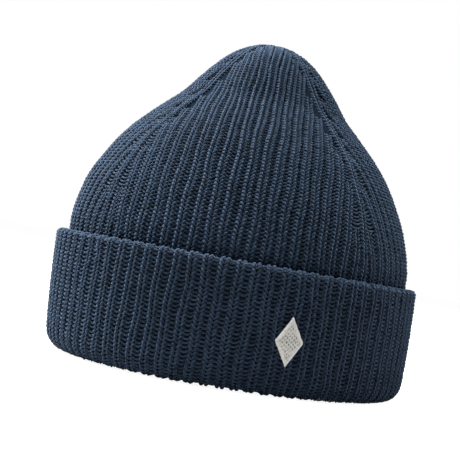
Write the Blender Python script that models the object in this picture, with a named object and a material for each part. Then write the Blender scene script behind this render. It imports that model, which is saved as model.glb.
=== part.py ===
"""Knit beanie: a double-knit crown that stands in a turned-up cuff, with its seams, label and motif.

Units are metres and +Z is up. The hat stands on its cuff, centred on the origin, and faces -Y, so
+X is the wearer's left. Every knit layer is a turned wall, stretched a little from front to back.
Each driving size below is set by itself; everything else is worked out from these.
"""
import math

import bmesh
import bpy
import numpy as np
from mathutils import Vector

# ---- driving sizes -------------------------------------------------------------------------
LAYER = 0.0024              # thickness of one knit layer
CLEARANCE = 0.0003          # gap between pieces that touch
BODY_RADIUS = 0.0975        # mean outer half-width of the crown where it enters the cuff
OVALNESS = 0.0718           # front-to-back half-width is (1 + this) times the mean, sideways (1 - this)
HAT_HEIGHT = 0.1877         # floor to the peak of the crown
CROWN_LIP = 0.0028          # how far the straight wall stands out of the cuff before it draws in

CUFF_HEIGHT = 0.0632        # floor to the top of the turned-up cuff
CUFF_FLARE = 0.0007         # how much wider the cuff is just above its bottom fold
CUFF_BULGE = 0.0005         # extra swell half-way up the cuff
TOP_FOLD_RISE = 0.0032      # height of the round over the cuff's top fold
BOTTOM_FOLD_RISE = 0.0110   # height of the round at the cuff's outer bottom corner
BOTTOM_FOLD_REACH = 0.0074  # width of that round
INNER_FOLD_RISE = 0.0040    # height of the round at the inner bottom corner
INNER_FOLD_REACH = 0.0035   # width of that round

SEAM_WIDTH = 0.0030         # width of a linked seam
SEAM_THICKNESS = 0.0008     # thickness of a linked seam
SEAM_CLEARANCE = 0.00035    # room on each side of a linked seam, between the two shells
DART_TOP_RADIUS = 0.0120    # distance from the peak's axis at which the darts end
GATHER_OUTER_RADIUS = 0.0080  # ring of yarn that draws in the outer knit
GATHER_INNER_RADIUS = 0.0045  # ring of yarn that draws in the inner knit
TACK_RADIUS = 0.0018        # knot that ties the two peaks together

LABEL_WIDTH = 0.0260
LABEL_LENGTH = 0.0300
LABEL_THICKNESS = 0.0006
LABEL_TOP = 0.0520          # height of the label's sewn edge
LABEL_STITCH_HEIGHT = 0.0020
LABEL_STITCH_THICKNESS = 0.0007

MOTIF_WIDTH = 0.0140        # embroidered lozenge, side to side
MOTIF_HEIGHT = 0.0240       # and tip to tip
MOTIF_AZIMUTH = -24.5       # degrees round from +X, which puts it left of the front
MOTIF_CENTRE = 0.0280       # height of its middle
MOTIF_THICKNESS = 0.0009
BACKING_THICKNESS = 0.0003  # bobbin thread and stabiliser, each
STABILISER_MARGIN = 0.0040  # how far the stabiliser reaches past the motif

# Crown outline from the straight wall to the peak: (share of the rise, share of the half-width).
CROWN_OUTLINE = (
    (0.000, 1.000), (0.205, 0.943), (0.375, 0.840), (0.480, 0.752), (0.562, 0.660), (0.640, 0.562),
    (0.700, 0.486), (0.770, 0.420), (0.850, 0.338), (0.912, 0.262), (0.957, 0.180), (0.985, 0.095),
    (1.000, 0.000),
)

# ---- fineness of the meshes ----------------------------------------------------------------
SIDES = 48                  # facets round the hat
WALL_RINGS = 3
ARC_STEPS = 6
CUFF_RINGS = 6
GATHER_SIDES = 16
GATHER_SECTION = 6
MOTIF_CELLS = 6

# ---- worked out from the above -------------------------------------------------------------
CROWN_START = CUFF_HEIGHT + CROWN_LIP
BODY_FLOOR = LAYER + 2 * CLEARANCE
SHELL_GAP = SEAM_THICKNESS + 2 * SEAM_CLEARANCE
SHELL_DEPTH = LAYER + SHELL_GAP
SEAM_DEPTH = LAYER + (SHELL_GAP - SEAM_THICKNESS) / 2
INNER_RADIUS = BODY_RADIUS - SHELL_DEPTH - LAYER
RING_INNER = BODY_RADIUS + CLEARANCE
CUFF_GAP = 2 * BACKING_THICKNESS + 3 * CLEARANCE
CUFF_TOP_HALF = RING_INNER + 2 * LAYER + CUFF_GAP
GATHER_YARN_RADIUS = SEAM_THICKNESS / 2
TACK_THICKNESS = 0.75 * SEAM_THICKNESS
RING_WALL_TOP = CUFF_HEIGHT - TOP_FOLD_RISE
FACET_SAG = CUFF_TOP_HALF * (1 - math.cos(math.pi / SIDES))
BACK = 90.0

KNIT_NAVY = ((0.020, 0.032, 0.055), 0.95)
KNIT_INSIDE = ((0.022, 0.034, 0.056), 0.95)
SEAM_NAVY = ((0.015, 0.025, 0.044), 0.90)
THREAD_WHITE = ((0.62, 0.58, 0.54), 0.55)
BACKING_GREY = ((0.55, 0.55, 0.56), 0.85)
LABEL_SATIN = ((0.70, 0.69, 0.66), 0.45)


def clear_scene():
    """Remove every object that the scene starts with."""
    for thing in list(bpy.data.objects):
        bpy.data.objects.remove(thing, do_unlink=True)


def material(name, colour, roughness):
    """Return a plain Principled material."""
    made = bpy.data.materials.new(name)
    made.use_nodes = True
    shader = made.node_tree.nodes["Principled BSDF"]
    shader.inputs["Base Color"].default_value = (*colour, 1.0)
    shader.inputs["Roughness"].default_value = roughness
    shader.inputs["Metallic"].default_value = 0.0
    made.diffuse_color = (*colour, 1.0)
    return made


def add_object(name, bm, look, parent=None, origin=(0.0, 0.0, 0.0)):
    """Turn a bmesh in world metres into a named object whose origin is at `origin`."""
    bmesh.ops.recalc_face_normals(bm, faces=bm.faces[:])
    shift = Vector(origin)
    for vert in bm.verts:
        vert.co -= shift
    mesh = bpy.data.meshes.new(name)
    bm.to_mesh(mesh)
    bm.free()
    mesh.shade_smooth()
    mesh.set_sharp_from_angle(angle=math.radians(40))
    made = bpy.data.objects.new(name, mesh)
    mesh.materials.append(material(name, *look))
    bpy.context.scene.collection.objects.link(made)
    made.parent = parent
    made.location = shift - (parent.location if parent else Vector())
    return made


def joint_empty(name, place):
    """Add an empty that marks a joint's origin and carries the pieces that move with it."""
    empty = bpy.data.objects.new(name, None)
    bpy.context.scene.collection.objects.link(empty)
    empty.location = place
    return empty


# ---- outlines in the (mean radius, height) plane ---------------------------------------------
def through(points, steps):
    """Run a smooth curve through the crown outline's points, level at the peak and upright below."""
    first, last = points[0], points[-1]
    before = (-points[1][0], points[1][1])
    after = (points[-2][0], -points[-2][1])
    knots = [np.array(p) for p in (before, *points, after)]
    curve = [np.array(first)]
    for i in range(1, len(knots) - 2):
        p0, p1, p2, p3 = knots[i - 1:i + 3]
        for k in range(1, steps + 1):
            t = k / steps
            curve.append(0.5 * (2 * p1 + (p2 - p0) * t + (2 * p0 - 5 * p1 + 4 * p2 - p3) * t * t
                                + (3 * p1 - p0 - 3 * p2 + p3) * t ** 3))
    curve[-1] = np.array(last)
    return curve


def body_line(depth, floor):
    """Return the body's outline from `floor` to the peak, set in from the outer face by `depth`."""
    rise = HAT_HEIGHT - CROWN_START
    crown = [np.array((share * BODY_RADIUS, CROWN_START + up * rise))
             for up, share in through(CROWN_OUTLINE, 1)]
    wall = [np.array((BODY_RADIUS, BODY_FLOOR + (CROWN_START - BODY_FLOOR) * k / WALL_RINGS))
            for k in range(WALL_RINGS)]
    line = wall + crown
    inset = []
    for i, point in enumerate(line):
        along = line[min(i + 1, len(line) - 1)] - line[max(i - 1, 0)]
        if i == len(line) - 1:
            along = np.array((-1.0, 0.0))
        normal = np.array((along[1], -along[0])) / np.linalg.norm(along)
        inset.append(point - normal * depth)
    inset[0] = np.array((BODY_RADIUS - depth, floor))
    inset[-1][0] = 0.0
    return inset


def arc(centre, reach, rise, start, end, steps=ARC_STEPS):
    """Return points on an elliptical arc between two angles in degrees, both ends included."""
    angles = np.radians(np.linspace(start, end, steps + 1))
    return [np.array((centre[0] + reach * math.cos(a), centre[1] + rise * math.sin(a))) for a in angles]


def cuff_outer(height):
    """Return the mean radius of the cuff's outer face at a height between its two folds."""
    share = (height - BOTTOM_FOLD_RISE) / (RING_WALL_TOP - BOTTOM_FOLD_RISE)
    return CUFF_TOP_HALF + CUFF_FLARE * (1 - share) + CUFF_BULGE * math.sin(math.pi * share)


def cuff_walls(depth):
    """Return the cuff's wall line from the bottom fold to the top one, set in by `depth`."""
    heights = np.linspace(BOTTOM_FOLD_RISE, RING_WALL_TOP, CUFF_RINGS + 1)
    return [np.array((cuff_outer(h) - depth, h)) for h in heights]


def oval(radius, azimuth, height):
    """Place a point of the (mean radius, height) plane at an azimuth in degrees round from +X."""
    turn = math.radians(azimuth)
    return Vector((radius * (1 - OVALNESS) * math.cos(turn),
                   radius * (1 + OVALNESS) * math.sin(turn), height))


# ---- solids ----------------------------------------------------------------------------------
def turned(outline, closed):
    """Spin an outline round the hat's axis. An open outline has both of its ends on the axis."""
    bm = bmesh.new()
    verts = [bm.verts.new((radius, 0.0, height)) for radius, height in outline]
    pairs = list(zip(verts, verts[1:] + verts[:1]))
    edges = [bm.edges.new(pair) for pair in (pairs if closed else pairs[:-1])]
    bmesh.ops.spin(bm, geom=verts + edges, cent=(0, 0, 0), axis=(0, 0, 1), dvec=(0, 0, 0),
                   angle=2 * math.pi, steps=SIDES, use_merge=True, use_duplicate=False)
    bmesh.ops.remove_doubles(bm, verts=bm.verts[:], dist=1e-6)
    bmesh.ops.dissolve_degenerate(bm, edges=bm.edges[:], dist=1e-7)
    for vert in bm.verts:
        vert.co.x *= 1 - OVALNESS
        vert.co.y *= 1 + OVALNESS
    return bm


def shell(depth, floor):
    """Make one knit layer of the body, open at the bottom and closed at the peak."""
    outside = body_line(depth, floor)
    inside = body_line(depth + LAYER, floor)
    return turned(outside[::-1] + inside, closed=False)


def loft(sections):
    """Skin a list of equal point loops and cap both ends."""
    bm = bmesh.new()
    rings = [[bm.verts.new(point) for point in section] for section in sections]
    count = len(rings[0])
    for low, high in zip(rings, rings[1:]):
        for k in range(count):
            bm.faces.new((low[k], low[(k + 1) % count], high[(k + 1) % count], high[k]))
    bm.faces.new(rings[0])
    bm.faces.new(rings[-1])
    return bm


def seam_strip(outer_line, inner_line, azimuth):
    """Make a flat seam between two lines of the (radius, height) plane, at one azimuth."""
    centre = oval(1.0, azimuth, 0.0)
    sideways = Vector((-centre.y, centre.x, 0.0)).normalized() * SEAM_WIDTH / 2
    sections = []
    for outer, inner in zip(outer_line, inner_line):
        out, inn = oval(outer[0], azimuth, outer[1]), oval(inner[0], azimuth, inner[1])
        sections.append((out - sideways, out + sideways, inn + sideways, inn - sideways))
    return loft(sections)


def ring_of_yarn(radius, height):
    """Make a closed ring of yarn that lies level at a height."""
    sections = []
    for k in range(GATHER_SIDES):
        turn = 2 * math.pi * k / GATHER_SIDES
        out = Vector((math.cos(turn), math.sin(turn), 0.0))
        loop = []
        for j in range(GATHER_SECTION):
            roll = 2 * math.pi * j / GATHER_SECTION
            reach = radius + GATHER_YARN_RADIUS * math.cos(roll)
            point = out * reach
            loop.append((point.x, point.y, height + GATHER_YARN_RADIUS * math.sin(roll)))
        sections.append(loop)
    bm = bmesh.new()
    rings = [[bm.verts.new(point) for point in section] for section in sections]
    for low, high in zip(rings, rings[1:] + rings[:1]):
        for j in range(GATHER_SECTION):
            after = (j + 1) % GATHER_SECTION
            bm.faces.new((low[j], low[after], high[after], high[j]))
    return bm


def lozenge_plate(width, height, inner_radius, thickness):
    """Make a lozenge that follows the cuff; inner_radius gives the mean radius of its back."""
    degrees_per_metre = 180 / (math.pi * CUFF_TOP_HALF)

    def face(extra):
        points = []
        for i in range(MOTIF_CELLS + 1):
            for j in range(MOTIF_CELLS + 1):
                across = (i - j) / MOTIF_CELLS * width / 2
                up = ((i + j) / MOTIF_CELLS - 1) * height / 2
                level = MOTIF_CENTRE + up
                points.append(oval(inner_radius(level) + extra,
                                   MOTIF_AZIMUTH + across * degrees_per_metre, level))
        return points

    bm = bmesh.new()
    back = [bm.verts.new(p) for p in face(0.0)]
    front = [bm.verts.new(p) for p in face(thickness)]
    row = MOTIF_CELLS + 1
    for i in range(MOTIF_CELLS):
        for j in range(MOTIF_CELLS):
            a, b, c, d = i * row + j, (i + 1) * row + j, (i + 1) * row + j + 1, i * row + j + 1
            bm.faces.new((front[a], front[b], front[c], front[d]))
            bm.faces.new((back[d], back[c], back[b], back[a]))
    rim = ([i * row for i in range(row)] + [MOTIF_CELLS * row + j for j in range(1, row)]
           + [i * row + MOTIF_CELLS for i in range(MOTIF_CELLS - 1, -1, -1)]
           + [j for j in range(MOTIF_CELLS - 1, 0, -1)])
    for here, there in zip(rim, rim[1:] + rim[:1]):
        bm.faces.new((back[here], back[there], front[there], front[here]))
    return bm


def block(low, high):
    """Make a box between two corners."""
    bm = bmesh.new()
    bmesh.ops.create_cube(bm, size=1.0)
    for vert in bm.verts:
        vert.co = Vector([low[k] if vert.co[k] < 0 else high[k] for k in range(3)])
    return bm


# ---- the cuff, which the hat stands on -------------------------------------------------------
def build_cuff():
    """Build the cuff's two layers, its seam and the embroidered motif."""
    inner_edge = INNER_RADIUS
    flat_in = inner_edge + INNER_FOLD_REACH
    flat_out = cuff_outer(BOTTOM_FOLD_RISE) - BOTTOM_FOLD_REACH
    top_middle = (RING_INNER + CUFF_TOP_HALF) / 2
    top_reach = (CUFF_TOP_HALF - RING_INNER) / 2

    outside = (arc((flat_in, INNER_FOLD_RISE), INNER_FOLD_REACH, INNER_FOLD_RISE, 180, 270, 3)
               + arc((flat_out, BOTTOM_FOLD_RISE), BOTTOM_FOLD_REACH, BOTTOM_FOLD_RISE, 270, 360)
               + cuff_walls(0.0)[1:]
               + arc((top_middle, RING_WALL_TOP), top_reach, TOP_FOLD_RISE, 0, 180)[1:])
    inside = (arc((top_middle, RING_WALL_TOP), top_reach - LAYER, TOP_FOLD_RISE - LAYER, 180, 0, 4)
              + cuff_walls(LAYER)[::-1][1:]
              + arc((flat_out, BOTTOM_FOLD_RISE), BOTTOM_FOLD_REACH - LAYER,
                    BOTTOM_FOLD_RISE - LAYER, 360, 270)[1:]
              + arc((flat_in, INNER_FOLD_RISE), INNER_FOLD_REACH - LAYER,
                    INNER_FOLD_RISE - LAYER, 270, 180, 2))
    add_object("cuff_face", turned(outside + inside, closed=True), KNIT_NAVY)

    back_outer = RING_INNER + LAYER
    lean = (back_outer - flat_out) / (BOTTOM_FOLD_REACH - LAYER)
    fold_floor = BOTTOM_FOLD_RISE - (BOTTOM_FOLD_RISE - LAYER) * math.sqrt(max(0.0, 1 - lean * lean))
    low = fold_floor + 2 * CLEARANCE
    high = RING_WALL_TOP - CLEARANCE
    wall = [(RING_INNER, low), (back_outer, low), (back_outer, high), (RING_INNER, high)]
    add_object("cuff_back", turned(wall, closed=True), KNIT_INSIDE)

    seam_low, seam_high = low + LAYER, RING_WALL_TOP - 2 * LAYER
    heights = np.linspace(seam_low, seam_high, CUFF_RINGS)
    seam_in = [(back_outer + CLEARANCE, h) for h in heights]
    seam_out = [(back_outer + CLEARANCE + BACKING_THICKNESS, h) for h in heights]
    add_object("cuff_seam", seam_strip(seam_out, seam_in, BACK), SEAM_NAVY)

    def motif_back(level):
        return cuff_outer(level) + CLEARANCE

    def stabiliser_back(level):
        return cuff_outer(level) - LAYER - FACET_SAG - CLEARANCE - BACKING_THICKNESS

    def bobbin_back(level):
        return stabiliser_back(level) - CLEARANCE - BACKING_THICKNESS

    add_object("motif_thread",
               lozenge_plate(MOTIF_WIDTH, MOTIF_HEIGHT, motif_back, MOTIF_THICKNESS), THREAD_WHITE)
    add_object("motif_stabiliser",
               lozenge_plate(MOTIF_WIDTH + 2 * STABILISER_MARGIN, MOTIF_HEIGHT + 2 * STABILISER_MARGIN,
                             stabiliser_back, BACKING_THICKNESS), BACKING_GREY)
    add_object("motif_bobbin_thread",
               lozenge_plate(MOTIF_WIDTH, MOTIF_HEIGHT, bobbin_back, BACKING_THICKNESS), THREAD_WHITE)


# ---- the crown, which rises out of the cuff when the cuff is let down --------------------------
def build_crown(slide):
    """Build the two knit shells, the seams between them and the gathers at the peak."""
    inner_floor = INNER_FOLD_RISE + CLEARANCE
    add_object("outer_shell", shell(0.0, BODY_FLOOR), KNIT_NAVY, slide)
    add_object("inner_shell", shell(SHELL_DEPTH, inner_floor), KNIT_INSIDE, slide)

    seam_out = body_line(SEAM_DEPTH, inner_floor)
    seam_in = body_line(SEAM_DEPTH + SEAM_THICKNESS, inner_floor)
    crown_first = WALL_RINGS
    dart_last = max(i for i, point in enumerate(seam_in) if point[0] > DART_TOP_RADIUS)
    darts = {"dart_seam_front": -BACK, "dart_seam_left": 0.0, "dart_seam_back": BACK,
             "dart_seam_right": 2 * BACK}
    for name, azimuth in darts.items():
        bm = seam_strip(seam_out[crown_first + 1:dart_last + 1],
                        seam_in[crown_first + 1:dart_last + 1], azimuth)
        add_object(name, bm, SEAM_NAVY, slide)

    def joined(line):
        """The back seam runs from just above the rim to just below the back dart."""
        low = np.array((line[0][0], line[0][1] + LAYER))
        last, onward = line[crown_first], line[crown_first + 1]
        high = last + (onward - last) * 0.9
        return [low, *line[1:crown_first + 1], high]

    add_object("back_seam", seam_strip(joined(seam_out), joined(seam_in), BACK), SEAM_NAVY, slide)

    middle = body_line(LAYER + SHELL_GAP / 2, inner_floor)
    radii = [point[0] for point in middle][::-1]
    levels = [point[1] for point in middle][::-1]
    for name, radius in (("outer_gather_yarn", GATHER_OUTER_RADIUS),
                         ("inner_gather_yarn", GATHER_INNER_RADIUS)):
        level = float(np.interp(radius, radii, levels))
        add_object(name, ring_of_yarn(radius, level), SEAM_NAVY, slide)
    tack_middle = float(np.interp(TACK_RADIUS / 2, radii, levels))
    knot = bmesh.new()
    bmesh.ops.create_cone(knot, cap_ends=True, segments=GATHER_SIDES, radius1=TACK_RADIUS,
                          radius2=TACK_RADIUS, depth=TACK_THICKNESS)
    bmesh.ops.translate(knot, verts=knot.verts[:], vec=(0, 0, tack_middle))
    add_object("apex_tack", knot, SEAM_NAVY, slide)


def build_label(slide):
    """Build the care label, which hangs from its sewn edge inside the back, and its stitching."""
    half_back = INNER_RADIUS * (1 + OVALNESS)
    side = INNER_RADIUS * (1 - OVALNESS)

    def wall_at(half_width):
        return half_back * math.sqrt(1 - (half_width / side) ** 2)

    facet = INNER_RADIUS * (1 - math.cos(math.pi / SIDES))
    label_back = wall_at(LABEL_WIDTH / 2) - facet - 2 * CLEARANCE
    axis_y = label_back - LABEL_THICKNESS / 2
    hinge = Vector((0.0, axis_y, LABEL_TOP))
    carrier = joint_empty("label_hinge", hinge - slide.location)
    carrier.parent = slide
    half = LABEL_WIDTH / 2
    label = block((-half, label_back - LABEL_THICKNESS, LABEL_TOP - LABEL_LENGTH),
                  (half, label_back, LABEL_TOP))
    made = add_object("care_label", label, LABEL_SATIN, None, hinge)
    made.parent = carrier
    made.location = (0.0, 0.0, 0.0)

    low = LABEL_TOP + LABEL_THICKNESS / 2 + CLEARANCE
    stitch = block((-half, label_back - LABEL_STITCH_THICKNESS, low),
                   (half, label_back, low + LABEL_STITCH_HEIGHT))
    add_object("label_stitching", stitch, SEAM_NAVY, slide)


def main():
    """Build the whole hat."""
    clear_scene()
    build_cuff()
    slide = joint_empty("crown_slide", (0.0, 0.0, 0.0))
    build_crown(slide)
    build_label(slide)
    bpy.context.view_layer.update()


main()
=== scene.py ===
"""Knit beanie, dressed: yarn-by-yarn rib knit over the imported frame, embroidery, label and studio.

Every length is in metres. The outlines repeat the frame's own, and every knit layer's crest lies on
the face of the solid that it replaces. A place on the knit is an azimuth round the hat and a length
along the layer's outline.
"""
import logging
import math
from dataclasses import dataclass, field
from enum import Enum
from typing import Callable

import bmesh
import bpy
import numpy as np
from mathutils import Matrix, Vector


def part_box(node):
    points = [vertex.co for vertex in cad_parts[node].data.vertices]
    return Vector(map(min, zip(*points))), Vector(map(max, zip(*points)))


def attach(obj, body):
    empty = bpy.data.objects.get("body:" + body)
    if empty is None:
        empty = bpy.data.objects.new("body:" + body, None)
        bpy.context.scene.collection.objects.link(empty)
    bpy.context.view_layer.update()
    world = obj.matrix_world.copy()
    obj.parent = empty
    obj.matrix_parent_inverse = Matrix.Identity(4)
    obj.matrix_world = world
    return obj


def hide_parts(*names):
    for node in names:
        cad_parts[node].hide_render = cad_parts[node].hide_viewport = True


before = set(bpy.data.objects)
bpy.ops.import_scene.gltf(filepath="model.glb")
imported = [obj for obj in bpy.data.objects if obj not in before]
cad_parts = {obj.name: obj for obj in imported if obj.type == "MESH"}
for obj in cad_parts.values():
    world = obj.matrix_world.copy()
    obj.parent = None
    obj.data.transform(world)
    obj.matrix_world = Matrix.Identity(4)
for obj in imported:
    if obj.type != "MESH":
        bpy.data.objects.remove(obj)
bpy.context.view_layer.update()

LOG = logging.getLogger("beanie")
MM = 0.001


class Facing(Enum):
    """Which side of a knit layer shows."""

    OUT = 1.0
    IN = -1.0


class Detail(Enum):
    """How finely a layer's yarn is modelled: (steps along a stitch, faces round the yarn)."""

    FINE = (5, 3)
    PLAIN = (2, 2)


# ---- the hat's own shape ----------------------------------------------------------------------
@dataclass
class HatSizes:
    """Sizes read from the frame, with the few that its boxes don't give.

    Args:
        layer: thickness of one knit layer.
        shell_gap: space between two layers that lie face to face.
        clearance: space between the crown and the cuff.
        crown_lip: how far above the cuff the crown begins to draw in.
        cuff_flare: how much wider the cuff's wall is at its foot.
        cuff_bulge: how far it swells half-way up.
        top_fold_rise: height of the top fold's arc.
        bottom_fold_rise: height of the bottom fold's outer arc.
        bottom_fold_reach: width of that arc.
        inner_fold_rise: height of the lip's arc inside the rim.
        inner_fold_reach: width of that arc.
        lean_azimuth: degrees round from +X to where the wall is pushed in most.
        lean_reach: how far it is pushed in there, at the rim.
        lean_top: height at which it no longer is.
    """

    layer: float = 2.4 * MM
    shell_gap: float = 1.5 * MM
    clearance: float = 0.3 * MM
    crown_lip: float = 2.8 * MM
    cuff_flare: float = 0.7 * MM
    cuff_bulge: float = 0.5 * MM
    top_fold_rise: float = 3.2 * MM
    bottom_fold_rise: float = 11.0 * MM
    bottom_fold_reach: float = 7.4 * MM
    inner_fold_rise: float = 4.0 * MM
    inner_fold_reach: float = 3.5 * MM
    lean_azimuth: float = -135.0
    lean_reach: float = 8.0 * MM
    lean_top: float = 95 * MM
    body_radius: float = field(init=False)
    ovalness: float = field(init=False)
    hat_height: float = field(init=False)
    cuff_height: float = field(init=False)
    body_floor: float = field(init=False)

    def __post_init__(self) -> None:
        """Take the overall sizes from the frame's boxes."""
        low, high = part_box("outer_shell")
        self.body_radius = (high.x + high.y) / 2
        self.ovalness = (high.y - high.x) / (high.y + high.x)
        self.hat_height = high.z
        self.body_floor = low.z
        self.cuff_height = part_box("cuff_face")[1].z

    def lean(self, turn: np.ndarray, height: np.ndarray) -> np.ndarray:
        """Return how far the soft wall is pushed in, which is most at the rim, front right."""
        towards = np.maximum(np.cos(turn - math.radians(self.lean_azimuth)), 0.0) ** 2
        return self.lean_reach * towards * np.clip(1 - height / self.lean_top, 0.0, 1.0)

    @property
    def crown_start(self) -> float:
        """Height where the crown begins to draw in."""
        return self.cuff_height + self.crown_lip

    @property
    def ring_inner(self) -> float:
        """Mean radius of the cuff's inner face."""
        return self.body_radius + self.clearance

    @property
    def cuff_top_half(self) -> float:
        """Mean half-width of the cuff's outer face just below its top fold."""
        return self.ring_inner + 2 * self.layer + self.shell_gap

    @property
    def inner_radius(self) -> float:
        """Mean radius of the head opening."""
        return self.body_radius - self.shell_gap - 2 * self.layer

    @property
    def ring_wall_top(self) -> float:
        """Height where the cuff's top fold begins."""
        return self.cuff_height - self.top_fold_rise


# The crown's outline above the wall: (share of the rise, share of the half-width).
CROWN_OUTLINE = (
    (0.000, 1.000), (0.205, 0.943), (0.375, 0.840), (0.480, 0.752), (0.562, 0.660), (0.640, 0.562),
    (0.700, 0.486), (0.770, 0.420), (0.850, 0.338), (0.912, 0.262), (0.957, 0.180), (0.985, 0.095),
    (1.000, 0.000),
)


def smooth_through(points: tuple, steps: int) -> np.ndarray:
    """Run a smooth curve through the crown outline's points.

    Args:
        points: (share of the rise, share of the half-width) pairs, from the wall to the peak.
        steps: how many points to make between two of them.

    Returns:
        The curve's points as an array of the same pairs.
    """
    knots = np.array([(-points[1][0], points[1][1]), *points, (points[-2][0], -points[-2][1])])
    t = (np.arange(1, steps + 1) / steps)[:, None]
    curve = [np.array(points[:1])]
    for p0, p1, p2, p3 in zip(knots, knots[1:], knots[2:], knots[3:]):
        curve.append(0.5 * (2 * p1 + (p2 - p0) * t + (2 * p0 - 5 * p1 + 4 * p2 - p3) * t ** 2
                            + (3 * p1 - p0 - 3 * p2 + p3) * t ** 3))
    return np.concatenate(curve)


def smoothstep(value: np.ndarray, low: float, high: float) -> np.ndarray:
    """Rise smoothly from 0 at `low` to 1 at `high`."""
    share = np.clip((value - low) / (high - low), 0.0, 1.0)
    return share * share * (3 - 2 * share)


class Outline:
    """A layer's outline in the plane of mean radius and height, measured along its length."""

    def __init__(self, points: np.ndarray) -> None:
        """Keep the points, which run from the outline's start to its end."""
        self.points = np.asarray(points, float)
        steps = np.linalg.norm(np.diff(self.points, axis=0), axis=1)
        self.lengths = np.concatenate([[0.0], np.cumsum(steps)])

    @property
    def length(self) -> float:
        """Length along the whole outline."""
        return float(self.lengths[-1])

    def radius(self, along: np.ndarray) -> np.ndarray:
        """Mean radius at a length along the outline."""
        return np.interp(along, self.lengths, self.points[:, 0])

    def height(self, along: np.ndarray) -> np.ndarray:
        """Height at a length along the outline."""
        return np.interp(along, self.lengths, self.points[:, 1])

    def inset(self, depth: float) -> "Outline":
        """Return the outline set in by a depth, its ends kept on their own heights and the axis."""
        along = np.gradient(self.points, axis=0)
        normal = np.stack([along[:, 1], -along[:, 0]], axis=1)
        normal /= np.linalg.norm(normal, axis=1, keepdims=True)
        moved = self.points - normal * depth
        moved[:, 0] = np.maximum(moved[:, 0], 0.0)
        return Outline(moved)


def body_outline(sizes: HatSizes) -> Outline:
    """Return the outer face's outline from the rim to the peak."""
    rise = sizes.hat_height - sizes.crown_start
    curve = smooth_through(CROWN_OUTLINE, 10)
    crown = np.stack([curve[:, 1] * sizes.body_radius, sizes.crown_start + curve[:, 0] * rise], axis=1)
    heights = np.linspace(sizes.body_floor, sizes.crown_start, 40)[:-1]
    wall = np.stack([np.full_like(heights, sizes.body_radius), heights], axis=1)
    return Outline(np.concatenate([wall, crown]))


def arc(centre: tuple, reach: float, rise: float, start: float, end: float) -> np.ndarray:
    """Return points on an elliptical arc between two angles in degrees."""
    angles = np.radians(np.linspace(start, end, 25))
    return np.stack([centre[0] + reach * np.cos(angles), centre[1] + rise * np.sin(angles)], axis=1)


def cuff_outline(sizes: HatSizes) -> Outline:
    """Return the cuff's face from the lip inside the rim, under it, up and over the top fold."""
    heights = np.linspace(sizes.bottom_fold_rise, sizes.ring_wall_top, 50)
    share = (heights - heights[0]) / (heights[-1] - heights[0])
    wall_radius = (sizes.cuff_top_half + sizes.cuff_flare * (1 - share)
                   + sizes.cuff_bulge * np.sin(math.pi * share))
    lip = arc((sizes.inner_radius + sizes.inner_fold_reach, sizes.inner_fold_rise),
              sizes.inner_fold_reach, sizes.inner_fold_rise, 180, 270)
    corner = arc((wall_radius[0] - sizes.bottom_fold_reach, sizes.bottom_fold_rise),
                 sizes.bottom_fold_reach, sizes.bottom_fold_rise, 270, 360)
    wall = np.stack([wall_radius, heights], axis=1)
    top = arc(((sizes.ring_inner + sizes.cuff_top_half) / 2, sizes.ring_wall_top),
              (sizes.cuff_top_half - sizes.ring_inner) / 2, sizes.top_fold_rise, 0, 180)
    return Outline(np.concatenate([lip, corner, wall[1:-1], top]))


@dataclass
class KnitSurface:
    """A knit layer's face, on which yarn is laid.

    Args:
        outline: the face's outline.
        sizes: the hat's sizes.
        facing: which side shows.
        valleys: how deep the four darts sink in near the peak, as a share of the radius.
        valleys_from: height where they begin.
        valleys_full: how far below the peak they are deepest.
        dimple: how far the gathered peak sinks.
        dimple_radius: how far out from the peak it sinks.
    """

    outline: Outline
    sizes: HatSizes
    facing: Facing = Facing.OUT
    valleys: float = 0.0
    valleys_from: float = 0.0
    valleys_full: float = 12 * MM
    dimple: float = 0.0
    dimple_radius: float = 9 * MM

    def point(self, turn: np.ndarray, along: np.ndarray) -> np.ndarray:
        """Return points on the face.

        Args:
            turn: azimuths in radians round from +X.
            along: lengths along the outline.

        Returns:
            An array of points, three numbers in the last axis.
        """
        radius, height = self.outline.radius(along), self.outline.height(along)
        if self.valleys:
            top = self.outline.points[:, 1].max()
            sink = self.valleys * smoothstep(height, self.valleys_from, top - self.valleys_full)
            radius = radius * (1 - sink * (0.5 + 0.5 * np.cos(4 * turn)) ** 2)
            height = height - self.dimple * np.exp(-(radius / self.dimple_radius) ** 2)
        radius = radius - self.sizes.lean(turn, height)
        return np.stack([radius * (1 - self.sizes.ovalness) * np.cos(turn),
                         radius * (1 + self.sizes.ovalness) * np.sin(turn), height], axis=-1)

    def placed(self, turn: np.ndarray, along: np.ndarray, lift: np.ndarray) -> tuple:
        """Return points lifted off the face, and the face's normals there."""
        step, least_radius = 0.15 * MM, 2 * MM
        swing = step / np.maximum(self.outline.radius(along), least_radius)
        here = self.point(turn, along)
        round_it = self.point(turn + swing, along) - self.point(turn - swing, along)
        up = (self.point(turn, np.minimum(along + step, self.outline.length))
              - self.point(turn, np.maximum(along - step, 0.0)))
        normal = np.cross(round_it, up)
        normal /= np.maximum(np.linalg.norm(normal, axis=-1, keepdims=True), 1e-15)
        normal = normal * self.facing.value
        return here + normal * lift[..., None], normal


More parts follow.
